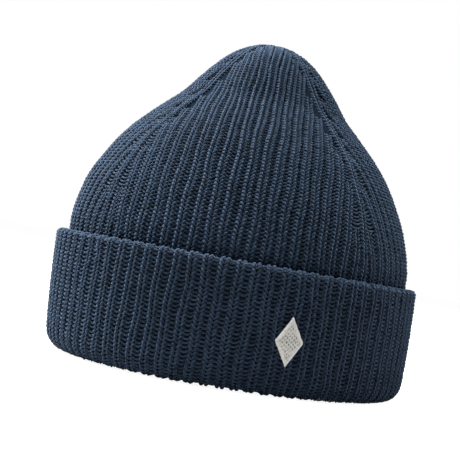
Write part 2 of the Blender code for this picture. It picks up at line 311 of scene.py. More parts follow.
# ---- yarn as meshes ---------------------------------------------------------------------------
class YarnMesh:
    """Collects short lengths of yarn and makes them one mesh of open-backed tubes."""

    def __init__(self) -> None:
        """Start with no yarn."""
        self.verts: list = []
        self.quads: list = []
        self.uvs: list = []
        self.shades: list = []
        self.count = 0

    def lay(self, centres: np.ndarray, normals: np.ndarray, radius: np.ndarray, faces: int,
            shade: np.ndarray, flatness: float = 1.0, wrap: float = 205.0) -> None:
        """Lay many equal lengths of yarn.

        Args:
            centres: (lengths, sections, 3) points along each one.
            normals: the outward direction at each of those points.
            radius: the yarn's radius, one for each length or for each section.
            faces: how many faces go round the side that shows.
            shade: its tone, both random dye and painted shade, one number for each length or for each
                section.
            flatness: the yarn's depth over its width.
            wrap: how many degrees of the yarn's section are made.
        """
        number, sections, _ = centres.shape
        along = np.gradient(centres, axis=1)
        along /= np.maximum(np.linalg.norm(along, axis=-1, keepdims=True), 1e-12)
        side = np.cross(along, normals)
        side /= np.maximum(np.linalg.norm(side, axis=-1, keepdims=True), 1e-12)
        out = np.cross(side, along)
        rolls = np.radians(np.linspace(90 - wrap / 2, 90 + wrap / 2, faces + 1))
        width = np.broadcast_to(np.asarray(radius, float).reshape(number, -1), (number, sections))
        ring = (centres[:, :, None, :]
                + side[:, :, None, :] * (width[:, :, None] * np.cos(rolls))[..., None]
                + out[:, :, None, :] * (width[:, :, None] * flatness * np.sin(rolls))[..., None])
        per = sections * (faces + 1)
        first = self.count + np.arange(number)[:, None, None] * per
        i, j = np.meshgrid(np.arange(sections - 1), np.arange(faces), indexing="ij")
        a = (i * (faces + 1) + j)[None]
        quad = np.stack([first + a, first + a + faces + 1, first + a + faces + 2, first + a + 1], axis=-1)
        steps = np.linalg.norm(np.diff(centres, axis=1), axis=-1)
        run = np.concatenate([np.zeros((number, 1)), np.cumsum(steps, axis=1)], axis=1)
        uv = np.stack(np.broadcast_arrays(run[:, :, None], (rolls / (2 * math.pi))[None, None]), axis=-1)
        self.verts.append(ring.reshape(-1, 3))
        self.quads.append(quad.reshape(-1, 4))
        self.uvs.append(uv.reshape(-1, 2))
        shade = np.broadcast_to(np.asarray(shade, float).reshape(number, -1), (number, sections))
        self.shades.append(np.repeat(shade.ravel(), faces + 1))
        self.count += number * per

    def finish(self, name: str) -> bpy.types.Object:
        """Make the mesh's object."""
        return object_from_arrays(name, np.concatenate(self.verts), np.concatenate(self.quads),
                                  np.concatenate(self.uvs), np.concatenate(self.shades))


def object_from_arrays(name: str, verts: np.ndarray, quads: np.ndarray, uvs: np.ndarray,
                       shades: np.ndarray) -> bpy.types.Object:
    """Make a smooth mesh object of quads.

    Args:
        name: the piece's name.
        verts: its points.
        quads: four point numbers for each face.
        uvs: one pair for each point, in the UV map "Yarn": metres along and turns round.
        shades: one number for each point, in the attribute "shade": random dye and painted shade.

    Returns:
        The object, linked to the scene.
    """
    mesh = bpy.data.meshes.new(name)
    mesh.vertices.add(len(verts))
    mesh.vertices.foreach_set("co", verts.astype(np.float32).ravel())
    mesh.loops.add(quads.size)
    mesh.loops.foreach_set("vertex_index", quads.astype(np.int32).ravel())
    mesh.polygons.add(len(quads))
    mesh.polygons.foreach_set("loop_start", np.arange(0, quads.size, 4, dtype=np.int32))
    mesh.update(calc_edges=True)
    layer = mesh.uv_layers.new(name="Yarn")
    layer.data.foreach_set("uv", uvs[quads.ravel()].astype(np.float32).ravel())
    shade = mesh.attributes.new("shade", "FLOAT", "POINT")
    shade.data.foreach_set("value", shades.astype(np.float32))
    mesh.shade_smooth()
    made = bpy.data.objects.new(name, mesh)
    bpy.context.scene.collection.objects.link(made)
    return made


def grid_object(name: str, points: np.ndarray, closed: bool) -> bpy.types.Object:
    """Make a sheet from a (rows, columns, 3) grid of points, joined round if it is closed."""
    rows, columns, _ = points.shape
    ids = np.arange(rows * columns).reshape(rows, columns)
    right = np.roll(ids, -1, axis=1) if closed else ids[:, 1:]
    left = ids if closed else ids[:, :-1]
    quads = np.stack([left[:-1], right[:-1], right[1:], left[1:]], axis=-1).reshape(-1, 4)
    uvs = np.stack(np.meshgrid(np.arange(columns) / columns, np.arange(rows) / rows), axis=-1)
    return object_from_arrays(name, points.reshape(-1, 3), quads, uvs.reshape(-1, 2),
                              np.full(rows * columns, 0.5))


def dress(piece: bpy.types.Object, finish: bpy.types.Material, body: str, node: str) -> None:
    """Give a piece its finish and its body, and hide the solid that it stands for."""
    piece.data.materials.append(finish)
    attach(piece, body)
    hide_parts(node)


# ---- the rib stitch ---------------------------------------------------------------------------
@dataclass(frozen=True)
class RibStitch:
    """The shape of one course of one rib.

    Across and depth are in metres, and up is in courses. A relaxed rib is as wide as a stretched
    one, but its V opens at the foot, its loop rises between the legs, and the furrow beside it closes.
    """

    course: float = 2.07 * MM
    yarn: float = 0.58 * MM
    leg_from: float = -0.14
    leg_rise: float = 1.16
    leg_crest: float = 0.45
    leg_taper: float = 0.20
    foot_stretched: float = 0.30 * MM
    foot_relaxed: float = 1.50 * MM
    head_stretched: float = 2.22 * MM
    head_relaxed: float = 2.26 * MM
    foot_depth: float = 1.15 * MM
    head_depth: float = 1.55 * MM
    purl_level: float = 0.62
    purl_sag: float = 0.40
    purl_depth: float = 1.20 * MM
    purl_swell: float = 0.35 * MM
    purl_overlap: float = 0.25 * MM
    purl_shortest: float = 0.6 * MM
    purl_wide: tuple = (2.0 * MM, 3.8 * MM)
    purl_squeezed: float = 0.7 * MM
    purl_thickness: float = 0.92
    rung_reach: float = 1.25 * MM
    rung_spread: float = 0.35
    rung_level: float = 0.78
    rung_sag: float = 0.16
    rung_depth: float = 1.25 * MM
    rung_rise: float = 0.75 * MM
    rung_thickness: float = 0.60
    rung_swell: float = 0.22
    ground_depth: float = 2.25 * MM

    def head(self, ease: np.ndarray) -> np.ndarray:
        """Return how far from its rib's middle a leg ends."""
        return self.head_stretched + (self.head_relaxed - self.head_stretched) * ease

    def leg(self, steps: int, ease: np.ndarray) -> tuple:
        """Return (across, up, depth) along the right leg of a V, foot to head.

        Args:
            steps: how many lengths it is made in.
            ease: how relaxed each stitch is, from 0 to 1.

        Returns:
            One row for each stitch of across, and one row for all of them of up and depth.
        """
        t = np.linspace(0.0, 1.0, steps + 1)
        foot = self.foot_stretched + (self.foot_relaxed - self.foot_stretched) * ease[:, None]
        across = foot + (self.head(ease)[:, None] - foot) * (t ** 0.9)[None]
        up = self.leg_from + self.leg_rise * t
        crest = self.leg_crest
        depth = np.where(t < crest, self.foot_depth * (1 - t / crest) ** 2,
                         self.head_depth * ((t - crest) / (1 - crest)) ** 2)
        return across, up, depth

    def purl(self, steps: int) -> tuple:
        """Return (share across the gap, up, depth) along the bump between two ribs."""
        t = np.linspace(0.0, 1.0, steps + 1)
        up = self.purl_level - self.purl_sag * np.sin(math.pi * t)
        depth = self.purl_depth - self.purl_swell * np.sin(math.pi * t)
        return t, up, depth

    def rung(self, steps: int, ease: np.ndarray) -> tuple:
        """Return (across, up, depth) along the loop that shows between a V's legs."""
        t = np.linspace(-1.0, 1.0, steps + 1)
        across = (self.rung_reach * t)[None] * (1 + self.rung_spread * ease[:, None])
        up = self.rung_level - self.rung_sag * t ** 2
        depth = np.full(steps + 1, self.rung_depth)[None] - self.rung_rise * ease[:, None]
        return across, up, depth


@dataclass(frozen=True)
class Unevenness:
    """How much the stitches of hand-smoothed knit differ: places, thickness and dye."""

    slow_stray: float = 0.045
    quick_stray: float = 0.030
    leg_across: float = 0.07 * MM
    leg_up: float = 0.045
    leg_depth: float = 0.07 * MM
    leg_thickness: float = 0.05
    leg_dye: float = 0.16
    purl_up: float = 0.05
    purl_depth: float = 0.08 * MM
    purl_dye: float = 0.13


@dataclass
class Cells:
    """Many stitches of a knit layer.

    Args:
        middle: azimuth about which each stitch's rib is counted.
        rib: where its rib stands, in pitches from that azimuth.
        course: which course it is in.
        sink: how far it is tucked in, in metres.
        swell: how much thicker than usual its yarn is.
    """

    middle: np.ndarray
    rib: np.ndarray
    course: np.ndarray
    sink: np.ndarray
    swell: np.ndarray

    def picked(self, which: np.ndarray) -> "Cells":
        """Return only some of the stitches."""
        return Cells(self.middle[which], self.rib[which], self.course[which], self.sink[which],
                     self.swell[which])


class RibKnitter:
    """Lays the rib stitches of one knit layer.

    The yarn's tone holds painted shade: each leg is painted lightest at its crest and darker towards
    its ends, loop heads sunk between stretched legs darker, and purls in the furrows darker, most where
    squeezed.
    """

    relaxed_under = 5.6 * MM
    stretched_over = 7.0 * MM
    # painted shade: a leg is painted darker from its crest towards its ends, where crevices would shade it
    crest_shade, foot_shade = 0.66, 0.20
    # painted shade: loop heads sunk deep between stretched legs are painted darker, raised ones lighter
    rung_shade, relaxed_rung_shade = 0.34, 0.64
    # painted shade: purls down in the furrows are painted darker, squeezed ones darker still
    purl_shade, squeezed_shade = 0.42, 0.21
    uneven = Unevenness()

    def __init__(self, surface: KnitSurface, stitch: RibStitch, detail: Detail,
                 pitch_of: Callable, pitch: Callable, seed: int) -> None:
        """Set up the knitter.

        Args:
            surface: the face that the yarn lies on.
            stitch: the stitch's shape.
            detail: how finely the yarn is modelled.
            pitch_of: gives the rib pitch in radians at a length along the outline.
            pitch: gives the rib pitch in metres there.
            seed: for the stitches' small differences.
        """
        self.surface, self.stitch, self.detail = surface, stitch, detail
        self.pitch_of, self.pitch = pitch_of, pitch
        self.random = np.random.default_rng(seed)

    def wander(self, rib: np.ndarray, along: np.ndarray, middle: np.ndarray) -> np.ndarray:
        """Return how far a rib strays sideways, in pitches, as hand-smoothed knit does."""
        slow, quick = self.uneven.slow_stray, self.uneven.quick_stray
        return (slow * np.sin(along * 95 + rib * 1.7 + middle * 3)
                + quick * np.sin(along * 210 + rib * 0.9 + middle * 5))

    def ease(self, cells: Cells) -> np.ndarray:
        """Return how relaxed each stitch is, from 0 to 1."""
        pitch = self.pitch((cells.course + 0.5) * self.stitch.course)
        return 1 - smoothstep(pitch, self.relaxed_under, self.stretched_over)

    def _place(self, cells: Cells, across: np.ndarray, up: np.ndarray, depth: np.ndarray) -> tuple:
        """Turn stitch coordinates into points and normals."""
        along = (cells.course[:, None] + up) * self.stitch.course
        along = np.clip(along, 0.0, self.surface.outline.length - 0.02 * MM)
        rib = cells.rib[:, None] + across / self.pitch(along)
        rib = rib + self.wander(cells.rib[:, None], along, cells.middle[:, None])
        turn = cells.middle[:, None] + rib * self.pitch_of(along)
        return self.surface.placed(turn, along, -(depth + cells.sink[:, None] + self.stitch.yarn))

    def legs(self, yarn: YarnMesh, cells: Cells) -> None:
        """Lay both legs of every V."""
        steps, faces = self.detail.value
        across, up, depth = self.stitch.leg(steps, self.ease(cells))
        number, uneven = len(cells.rib), self.uneven
        from_crest = np.abs(np.linspace(-0.95, 1, steps + 1))
        # painted shade, darker towards each leg's ends
        rub = self.crest_shade - (self.crest_shade - self.foot_shade) * from_crest ** 2.2
        taper = 1 - self.stitch.leg_taper * np.abs(np.linspace(-1, 1, steps + 1)) ** 4
        for hand in (-1.0, 1.0):
            jog = self.random.normal(0.0, 1.0, (number, 3))
            points, normals = self._place(cells, hand * (across + uneven.leg_across * jog[:, :1]),
                                          up[None] + uneven.leg_up * jog[:, 1:2],
                                          depth[None] + uneven.leg_depth * jog[:, 2:])
            shade = rub[None] + uneven.leg_dye * self.random.normal(0.0, 1.0, (number, 1))
            thick = self.stitch.yarn * cells.swell * (1 + uneven.leg_thickness * jog[:, 0])
            yarn.lay(points, normals, thick[:, None] * taper[None], faces, shade)

    def rungs(self, yarn: YarnMesh, cells: Cells) -> None:
        """Lay the loop heads that show between the legs."""
        stitch, ease = self.stitch, self.ease(cells)
        across, up, depth = stitch.rung(2, ease)
        points, normals = self._place(cells, across, up[None], depth)
        # painted shade: a loop head is painted lighter as it rises
        yarn.lay(points, normals, (stitch.rung_thickness + stitch.rung_swell * ease) * stitch.yarn, 2,
                 self.rung_shade + (self.relaxed_rung_shade - self.rung_shade) * ease)

    def purls(self, yarn: YarnMesh, cells: Cells, gap: np.ndarray) -> None:
        """Lay the bump from each rib to the next one, which is `gap` pitches away."""
        steps, faces = self.detail.value
        stitch, uneven = self.stitch, self.uneven
        share, up, depth = stitch.purl(steps)
        start = stitch.head(self.ease(cells)) - stitch.purl_overlap
        wide = np.abs(gap) * self.pitch((cells.course + 0.5) * stitch.course) - 2 * start
        keep = wide > stitch.purl_shortest
        cells, wide, gap, start = cells.picked(keep), wide[keep], gap[keep], start[keep]
        across = np.sign(gap)[:, None] * (start[:, None] + wide[:, None] * share[None])
        jog = self.random.normal(0.0, 1.0, (len(wide), 2))
        squeezed = 1 - smoothstep(wide, *stitch.purl_wide)
        depths = depth[None] + stitch.purl_squeezed * squeezed[:, None] + uneven.purl_depth * jog[:, 1:]
        points, normals = self._place(cells, across, up[None] + uneven.purl_up * jog[:, :1], depths)
        # painted shade: squeezed purls are painted darker
        shade = (self.purl_shade + uneven.purl_dye * self.random.normal(0.0, 1.0, len(wide))
                 - self.squeezed_shade * squeezed)
        yarn.lay(points, normals, np.full(len(wide), stitch.purl_thickness * stitch.yarn), faces, shade)


# ---- finishes ---------------------------------------------------------------------------------
def add_node(tree: bpy.types.NodeTree, kind: str, **settings: object) -> bpy.types.Node:
    """Add a node and set its properties."""
    node = tree.nodes.new(kind)
    for name, value in settings.items():
        setattr(node, name, value)
    return node


def math_node(tree: bpy.types.NodeTree, operation: str, first: object, second: object) -> object:
    """Add a Math node whose inputs are sockets or numbers, and return its output."""
    node = add_node(tree, "ShaderNodeMath", operation=operation)
    for socket, value in zip(node.inputs, (first, second)):
        if isinstance(value, (int, float)):
            socket.default_value = value
        else:
            tree.links.new(value, socket)
    return node.outputs[0]


def tone_ramp(tree: bpy.types.NodeTree, tone: bpy.types.NodeSocket, reach: tuple, dark: tuple,
              light: tuple) -> bpy.types.NodeSocket:
    """Turn a tone into a colour between dark and light, and return its output."""
    ramp = add_node(tree, "ShaderNodeValToRGB")
    for element, position, colour in zip(ramp.color_ramp.elements, reach, (dark, light)):
        element.position = position
        element.color = (*colour, 1.0)
    tree.links.new(tone, ramp.inputs["Fac"])
    return ramp.outputs["Color"]


def yarn_group() -> bpy.types.NodeTree:
    """Build the node group that gives spun yarn its plies, fibres and uneven dye, and paints shade in the
    grooves between the plies.

    Returns:
        A group with the inputs Twist and Fibre, and the outputs Tone, Melange and Height.
    """
    plies, dye_scale, dye_tone, ply_tone, ply_height = 3, 28.0, 0.5, 0.14, 0.60
    group = bpy.data.node_groups.new("spun yarn", "ShaderNodeTree")
    made = group.interface
    for name, value in (("Twist", 900.0), ("Fibre", 5200.0)):
        made.new_socket(name, in_out="INPUT", socket_type="NodeSocketFloat").default_value = value
    for name in ("Tone", "Melange", "Height"):
        made.new_socket(name, in_out="OUTPUT", socket_type="NodeSocketFloat")
    start, end = add_node(group, "NodeGroupInput"), add_node(group, "NodeGroupOutput")
    place = add_node(group, "ShaderNodeTexCoord")
    yarn = add_node(group, "ShaderNodeUVMap", uv_map="Yarn")
    parts = add_node(group, "ShaderNodeSeparateXYZ")
    group.links.new(yarn.outputs["UV"], parts.inputs[0])
    turned = math_node(group, "MULTIPLY", parts.outputs["X"], start.outputs["Twist"])
    round_it = math_node(group, "MULTIPLY", parts.outputs["Y"], plies * 2 * math.pi)
    ply = math_node(group, "SINE", math_node(group, "ADD", turned, round_it), 0.0)
    fibre = add_node(group, "ShaderNodeTexNoise", noise_dimensions="3D")
    group.links.new(place.outputs["Object"], fibre.inputs["Vector"])
    group.links.new(start.outputs["Fibre"], fibre.inputs["Scale"])
    fibre.inputs["Detail"].default_value = 2.0
    dye = add_node(group, "ShaderNodeTexNoise", noise_dimensions="3D")
    group.links.new(place.outputs["Object"], dye.inputs["Vector"])
    dye.inputs["Scale"].default_value = dye_scale
    dye.inputs["Detail"].default_value = 4.0
    shade = add_node(group, "ShaderNodeAttribute", attribute_name="shade")
    uneven = math_node(group, "MULTIPLY_ADD", dye.outputs["Fac"], dye_tone)
    group.links.new(shade.outputs["Fac"], uneven.node.inputs[2])
    # painted shade: the tone follows the plies' relief, darker in the grooves between them
    tone = math_node(group, "MULTIPLY_ADD", ply, ply_tone)
    group.links.new(uneven, tone.node.inputs[2])
    height = math_node(group, "MULTIPLY_ADD", ply, ply_height)
    group.links.new(fibre.outputs["Fac"], height.node.inputs[2])
    group.links.new(tone, end.inputs["Tone"])
    group.links.new(fibre.outputs["Fac"], end.inputs["Melange"])
    group.links.new(height, end.inputs["Height"])
    return group


@dataclass(frozen=True)
class YarnFinish:
    """A spun yarn's colours and surface.

    Args:
        name: the material's name.
        dark: colour of its darkest dye.
        light: colour of its lightest dye.
        fleck: colour of the paler fibres mixed in.
        roughness: surface roughness.
        sheen: how much its loose fibres catch grazing light.
        sheen_tint: the colour of that light.
        bump: depth of the plies and fibres, in metres.
        twist: how closely the plies turn, in radians for each metre.
        gloss: how much light its surface mirrors.
        tones: the tones at which it is darkest and lightest.
        flecks: the fibre noise between which flecks come in.
        fleck_cover: how much of the colour a full fleck takes.
        relief: how strongly the bump shows.
        sheen_roughness: how widely the sheen spreads.
    """

    name: str
    dark: tuple
    light: tuple
    fleck: tuple
    roughness: float = 0.85
    sheen: float = 0.6
    sheen_tint: tuple = (0.55, 0.68, 0.85)
    bump: float = 0.18 * MM
    twist: float = 4200.0
    gloss: float = 0.12
    tones: tuple = (0.35, 1.0)
    flecks: tuple = (0.56, 0.74)
    fleck_cover: float = 0.55
    relief: float = 0.8
    sheen_roughness: float = 0.45

    def build(self, group: bpy.types.NodeTree) -> bpy.types.Material:
        """Make the material from the yarn node group."""
        made = bpy.data.materials.new(self.name)
        made.use_nodes = True
        tree = made.node_tree
        shader = tree.nodes["Principled BSDF"]
        yarn = add_node(tree, "ShaderNodeGroup", node_tree=group)
        yarn.inputs["Twist"].default_value = self.twist
        dyed = tone_ramp(tree, yarn.outputs["Tone"], self.tones, self.dark, self.light)
        amount = add_node(tree, "ShaderNodeMapRange")
        amount.inputs["From Min"].default_value, amount.inputs["From Max"].default_value = self.flecks
        amount.inputs["To Max"].default_value = self.fleck_cover
        tree.links.new(yarn.outputs["Melange"], amount.inputs["Value"])
        mix = add_node(tree, "ShaderNodeMix", data_type="RGBA")
        tree.links.new(amount.outputs["Result"], mix.inputs["Factor"])
        tree.links.new(dyed, mix.inputs["A"])
        mix.inputs["B"].default_value = (*self.fleck, 1.0)
        tree.links.new(mix.outputs["Result"], shader.inputs["Base Color"])
        bump = add_node(tree, "ShaderNodeBump")
        bump.inputs["Distance"].default_value = self.bump
        bump.inputs["Strength"].default_value = self.relief
        tree.links.new(yarn.outputs["Height"], bump.inputs["Height"])
        tree.links.new(bump.outputs["Normal"], shader.inputs["Normal"])
        shader.inputs["Roughness"].default_value = self.roughness
        shader.inputs["Specular IOR Level"].default_value = self.gloss
        shader.inputs["Sheen Weight"].default_value = self.sheen
        shader.inputs["Sheen Roughness"].default_value = self.sheen_roughness
        shader.inputs["Sheen Tint"].default_value = (*self.sheen_tint, 1.0)
        return made


NAVY_YARN = YarnFinish("navy rib yarn", (0.005, 0.009, 0.017), (0.030, 0.051, 0.088),
                       (0.055, 0.088, 0.138), sheen=0.37, sheen_tint=(0.50, 0.70, 1.0))
# painted shade: a darker navy sheet laid behind the stitches, seen as the shade in the knit's holes and
# dart pits
SHADOW_YARN = YarnFinish("navy ground", (0.005, 0.009, 0.016), (0.014, 0.023, 0.040),
                         (0.014, 0.023, 0.040), sheen=0.0, gloss=0.03)
SEAM_YARN = YarnFinish("navy linking yarn", (0.006, 0.010, 0.018), (0.016, 0.025, 0.041),
                       (0.05, 0.07, 0.10), sheen=0.3)
# painted shade: the dark end of this thread's colours is reached mostly in the needle holes' painted shade
WHITE_THREAD = YarnFinish("off-white embroidery thread", (0.22, 0.20, 0.18), (0.97, 0.93, 0.87),
                          (0.96, 0.94, 0.91), roughness=0.42, sheen=0.25,
                          sheen_tint=(1.0, 0.98, 0.95), bump=0.05 * MM, twist=5200.0,
                          gloss=0.35)


@dataclass(frozen=True)
class WovenFinish:
    """A fine woven or bonded cloth.

    Args:
        name: the material's name.
        dark: colour of its threads in shade.
        light: colour of its threads in light.
        weave: threads in each metre, across and along.
        roughness: surface roughness.
        sheen: grazing sheen.
        bump: depth of the weave.
        cloud: how fine its uneven patches are.
        thread_tone: how much its threads change the tone.
        tones: the tones at which it is darkest and lightest.
    """

    name: str
    dark: tuple
    light: tuple
    weave: tuple
    roughness: float
    sheen: float
    bump: float
    cloud: float = 160.0
    thread_tone: float = 0.18
    tones: tuple = (0.25, 0.75)

    def build(self) -> bpy.types.Material:
        """Make the material."""
        made = bpy.data.materials.new(self.name)
        made.use_nodes = True
        tree = made.node_tree
        shader = tree.nodes["Principled BSDF"]
        place = add_node(tree, "ShaderNodeTexCoord")
        scale = add_node(tree, "ShaderNodeMapping")
        scale.inputs["Scale"].default_value = (self.weave[0], self.weave[0], self.weave[1])
        tree.links.new(place.outputs["Object"], scale.inputs["Vector"])
        parts = add_node(tree, "ShaderNodeSeparateXYZ")
        tree.links.new(scale.outputs["Vector"], parts.inputs[0])
        across = math_node(tree, "SINE", parts.outputs["X"], 0.0)
        along = math_node(tree, "SINE", parts.outputs["Z"], 0.0)
        threads = math_node(tree, "MULTIPLY", across, along)
        cloud = add_node(tree, "ShaderNodeTexNoise")
        cloud.inputs["Scale"].default_value = self.cloud
        cloud.inputs["Detail"].default_value = 4.0
        tree.links.new(place.outputs["Object"], cloud.inputs["Vector"])
        tone = math_node(tree, "MULTIPLY_ADD", threads, self.thread_tone)
        tree.links.new(cloud.outputs["Fac"], tone.node.inputs[2])
        woven = tone_ramp(tree, tone, self.tones, self.dark, self.light)
        tree.links.new(woven, shader.inputs["Base Color"])
        bump = add_node(tree, "ShaderNodeBump")
        bump.inputs["Distance"].default_value = self.bump
        tree.links.new(tone, bump.inputs["Height"])
        tree.links.new(bump.outputs["Normal"], shader.inputs["Normal"])
        shader.inputs["Roughness"].default_value = self.roughness
        shader.inputs["Sheen Weight"].default_value = self.sheen
        return made


LABEL_SATIN = WovenFinish("woven label satin", (0.52, 0.51, 0.49), (0.70, 0.69, 0.67),
                          (2 * math.pi * 1800, 2 * math.pi * 2600), 0.34, 0.3, 0.03 * MM)
BACKING_FELT = WovenFinish("bonded backing", (0.50, 0.50, 0.51), (0.68, 0.68, 0.69),
                           (2 * math.pi * 400, 2 * math.pi * 400), 0.9, 0.1, 0.05 * MM)


# ---- the crown --------------------------------------------------------------------------------
@dataclass
class Crown:
    """The crown's two knit layers, with four gores that meet at dart ribs.

    Args:
        sizes: the hat's sizes.
        ribs: how many ribs go round at the rim; each quarter's last one runs up the dart.
        relaxed_pitch: rib pitch at the peak, where the knit isn't stretched.
        tuck_from: how near to a dart, in pitches, a rib begins to tuck in.
        tuck_end: how near it ends.
        tuck_depth: how far it is tucked in there.
        pits_from: height above which no purl reaches the dart, so that pits show.
        pit_depth: how deep the sheet behind the stitches lies at a dart.
        pit_width: how far the deeper part reaches from it.
        hollows: the heights at which the dart's hollows come in and go out.
        hollow: how many pitches more they are open.
        valleys: how deep the darts sink in near the peak, as a share of the radius.
        valleys_rise: how far above the wall they begin.
        dimple: how far the gathered peak sinks.
        peak_radius: mean radius inside which nothing is knitted.
        dart_rise: how far above the wall the dart rib begins to swell, and is full.
        dart_lift: how far it then stands out.
        dart_swell: how much thicker it then is.
    """

    sizes: HatSizes
    ribs: int = 84
    relaxed_pitch: float = 5.4 * MM
    tuck_from: float = 0.95
    tuck_end: float = 0.58
    tuck_depth: float = 0.9 * MM
    pits_from: float = 124 * MM
    pit_depth: float = 1.5 * MM
    pit_width: float = 4 * MM
    hollows: tuple = ((128 * MM, 140 * MM), (160 * MM, 170 * MM))
    hollow: float = 0.30
    valleys: float = 0.07
    valleys_rise: float = 45 * MM
    dimple: float = 1.2 * MM
    peak_radius: float = 3.2 * MM
    dart_rise: tuple = (15 * MM, 60 * MM)
    dart_lift: float = 0.25 * MM
    dart_swell: float = 0.12

    def __post_init__(self) -> None:
        """Work out the outlines."""
        self.outline = body_outline(self.sizes)
        self.rim_pitch = 2 * math.pi * self.sizes.body_radius / self.ribs
        self.stitch = RibStitch()

    def face(self) -> KnitSurface:
        """Return the crown's outer face."""
        return KnitSurface(self.outline, self.sizes, Facing.OUT, valleys=self.valleys,
                           valleys_from=self.sizes.crown_start + self.valleys_rise,
                           dimple=self.dimple)

    def pitch(self, radius: np.ndarray) -> np.ndarray:
        """Return the rib pitch in metres where the crown has a given mean radius."""
        share = radius / self.sizes.body_radius
        return self.relaxed_pitch + (self.rim_pitch - self.relaxed_pitch) * share

    def pitches(self, outline: Outline, scale: float) -> tuple:
        """Return functions of the length along an outline: the pitch in radians and in metres."""
        def pitch_of(along: np.ndarray) -> np.ndarray:
            """Return the pitch in radians, which stops growing at the peak."""
            radius = np.maximum(outline.radius(along) * scale, self.peak_radius)
            return self.pitch(radius) / radius
        return pitch_of, lambda along: self.pitch(outline.radius(along) * scale)

    def gore_cells(self, outline: Outline, pitch_of: Callable, gore: int) -> tuple:
        """Return one gore's stitches.

        Args:
            outline: the layer's outline.
            pitch_of: gives the rib pitch in radians.
            gore: which quarter, counted round from +X.

        Returns:
            The stitches, and the gap in pitches from each one to the next rib outward.
        """
        per_gore = self.ribs // 4
        stands = np.arange(per_gore - 1) - (per_gore - 2) / 2
        courses = np.arange(int(outline.length / self.stitch.course))
        rib, course = [a.ravel() for a in np.meshgrid(stands, courses)]
        along = (course + 0.5) * self.stitch.course
        room = (math.pi / 4) / pitch_of(along) - np.abs(rib)
        height = outline.height(along)
        come, go = self.hollows
        opened = self.hollow * smoothstep(height, *come) * (1 - smoothstep(height, *go))
        alive = (room > self.tuck_end + opened) & (outline.radius(along) > self.peak_radius)
        rib, course, room = rib[alive], course[alive], room[alive]
        height, opened = height[alive], opened[alive]
        sink = self.tuck_depth * (1 - smoothstep(room, self.tuck_end, self.tuck_from))
        middle = np.full(len(rib), math.pi / 4 + gore * math.pi / 2)
        cells = Cells(middle, rib, course, sink, np.ones(len(rib)))
        outward = np.where(room > 1 + self.tuck_end, 1.0, room)
        pit = (room < 1 + 0.6 * self.tuck_end + opened) & (height > self.pits_from)
        return cells, np.where(pit, 0.0, outward)

    def knit_gore(self, knitter: RibKnitter, gore: int, name: str) -> bpy.types.Object:
        """Knit one gore and the dart rib at its clockwise edge."""
        outline = knitter.surface.outline
        cells, outward = self.gore_cells(outline, knitter.pitch_of, gore)
        yarn = YarnMesh()
        knitter.legs(yarn, cells)
        if knitter.detail is Detail.FINE:
            knitter.rungs(yarn, cells)
        knitter.purls(yarn, cells, np.sign(cells.rib) * outward)
        beside_middle = (cells.rib > 0) & (cells.rib < 0.6)
        knitter.purls(yarn, cells.picked(beside_middle), -np.ones(beside_middle.sum()))
        courses = np.arange(int(outline.length / self.stitch.course))
        courses = courses[outline.radius(courses * self.stitch.course) > self.peak_radius]
        above_wall = outline.height(courses * self.stitch.course) - self.sizes.crown_start
        rise = smoothstep(above_wall, *self.dart_rise)
        dart = Cells(np.full(len(courses), gore * math.pi / 2), np.zeros(len(courses)),
                     courses.astype(float), -self.dart_lift * rise, 1 + self.dart_swell * rise)
        knitter.legs(yarn, dart)
        if knitter.detail is Detail.FINE:
            knitter.rungs(yarn, dart)
        return yarn.finish(name)

    def ground(self, surface: KnitSurface, depth: float, name: str) -> bpy.types.Object:
        """Make the plain dark sheet behind a layer's stitches, closed at the peak: painted shade seen
        through the knit's holes.

        Args:
            surface: the layer's face.
            depth: how far below the face the sheet lies.
            name: the piece's name.

        Returns:
            The sheet.
        """
        short_of_peak, pits_over = 0.5 * MM, 12 * MM
        turns = np.linspace(0, 2 * math.pi, 4 * self.ribs + 1)[:-1]
        alongs = np.linspace(0.0, surface.outline.length - short_of_peak, 90)
        turn, along = np.meshgrid(turns, alongs)
        near = np.abs((turn + math.pi / 4) % (math.pi / 2) - math.pi / 4)
        near = near * surface.outline.radius(along) / self.pit_width
        height = surface.outline.height(along)
        pits = self.pit_depth * np.exp(-near ** 2)
        pits = pits * smoothstep(height, self.pits_from, self.pits_from + pits_over)
        points, _ = surface.placed(turn, along, -depth - pits)
        if surface.facing is Facing.IN:
            points = points[:, ::-1]
        points[-1] = points[-1].mean(axis=0)
        made = grid_object(name, points, closed=True)
        mesh = bmesh.new()
        mesh.from_mesh(made.data)
        bmesh.ops.remove_doubles(mesh, verts=mesh.verts, dist=0.001 * MM)
        mesh.to_mesh(made.data)
        mesh.free()
        return made

    def layer(self, knitter: RibKnitter, side: str, node: str, materials: dict) -> tuple:
        """Make one knit layer.

        Args:
            knitter: lays its yarn.
            side: "outer" or "inner", for its pieces' names.
            node: the solid that it stands for.
            materials: the finishes by name.

        Returns:
            The sheet behind the stitches, and the four gores.
        """
        ground = self.ground(knitter.surface, self.stitch.ground_depth, side + "_ground")
        dress(ground, materials["ground"], "crown", node)
        gores = []
        for gore, place in enumerate(("back_left", "back_right", "front_right", "front_left")):
            gores.append(self.knit_gore(knitter, gore, f"{side}_knit_{place}"))
            dress(gores[-1], materials["knit"], "crown", node)
        LOG.info("crown: %s, %s", ground.name, ", ".join(piece.name for piece in gores))
        return ground, gores

    def build(self, materials: dict) -> list:
        """Knit both layers.

        Args:
            materials: the finishes by name.

        Returns:
            The pieces made.
        """
        knitter = RibKnitter(self.face(), self.stitch, Detail.FINE, *self.pitches(self.outline, 1.0), 11)
        ground, gores = self.layer(knitter, "outer", "outer_shell", materials)

